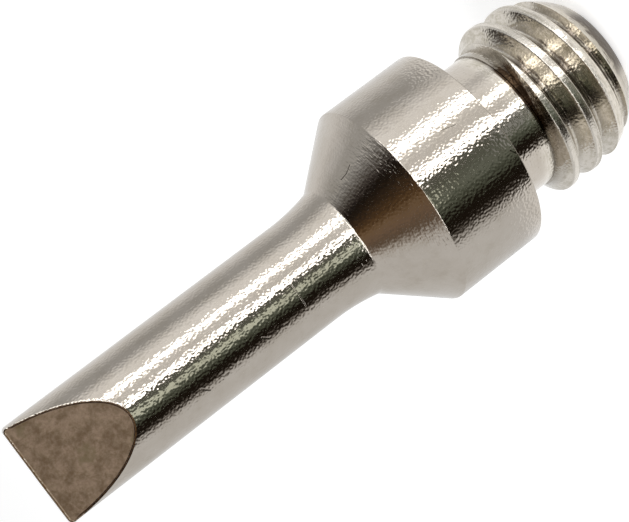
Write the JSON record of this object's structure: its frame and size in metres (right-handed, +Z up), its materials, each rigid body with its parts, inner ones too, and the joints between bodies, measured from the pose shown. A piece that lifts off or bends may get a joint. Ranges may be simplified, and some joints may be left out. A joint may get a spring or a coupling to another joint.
{
  "type": "soldering iron tip",
  "caption": "Screw-in chisel tip for a soldering iron: a round shank ground to a two-facet chisel, a cone, a collar, a neck and a threaded stub",
  "frame": {"origin": "centre of the threaded stub's flat end face, on which the tip stands", "axes": "+Z runs up the axis of the tip, from the threaded end to the chisel; -Y is the front, which one ground facet faces; X runs along the chisel's edge"},
  "size_m": [0.0058, 0.0058, 0.018],
  "materials": {
    "nickel_plate": "bright nickel plating over turned copper, with the ground chisel facets duller and browner"
  },
  "bodies": {
    "root": {"iron_tip": "nickel_plate"}
  },
  "joints": []
}
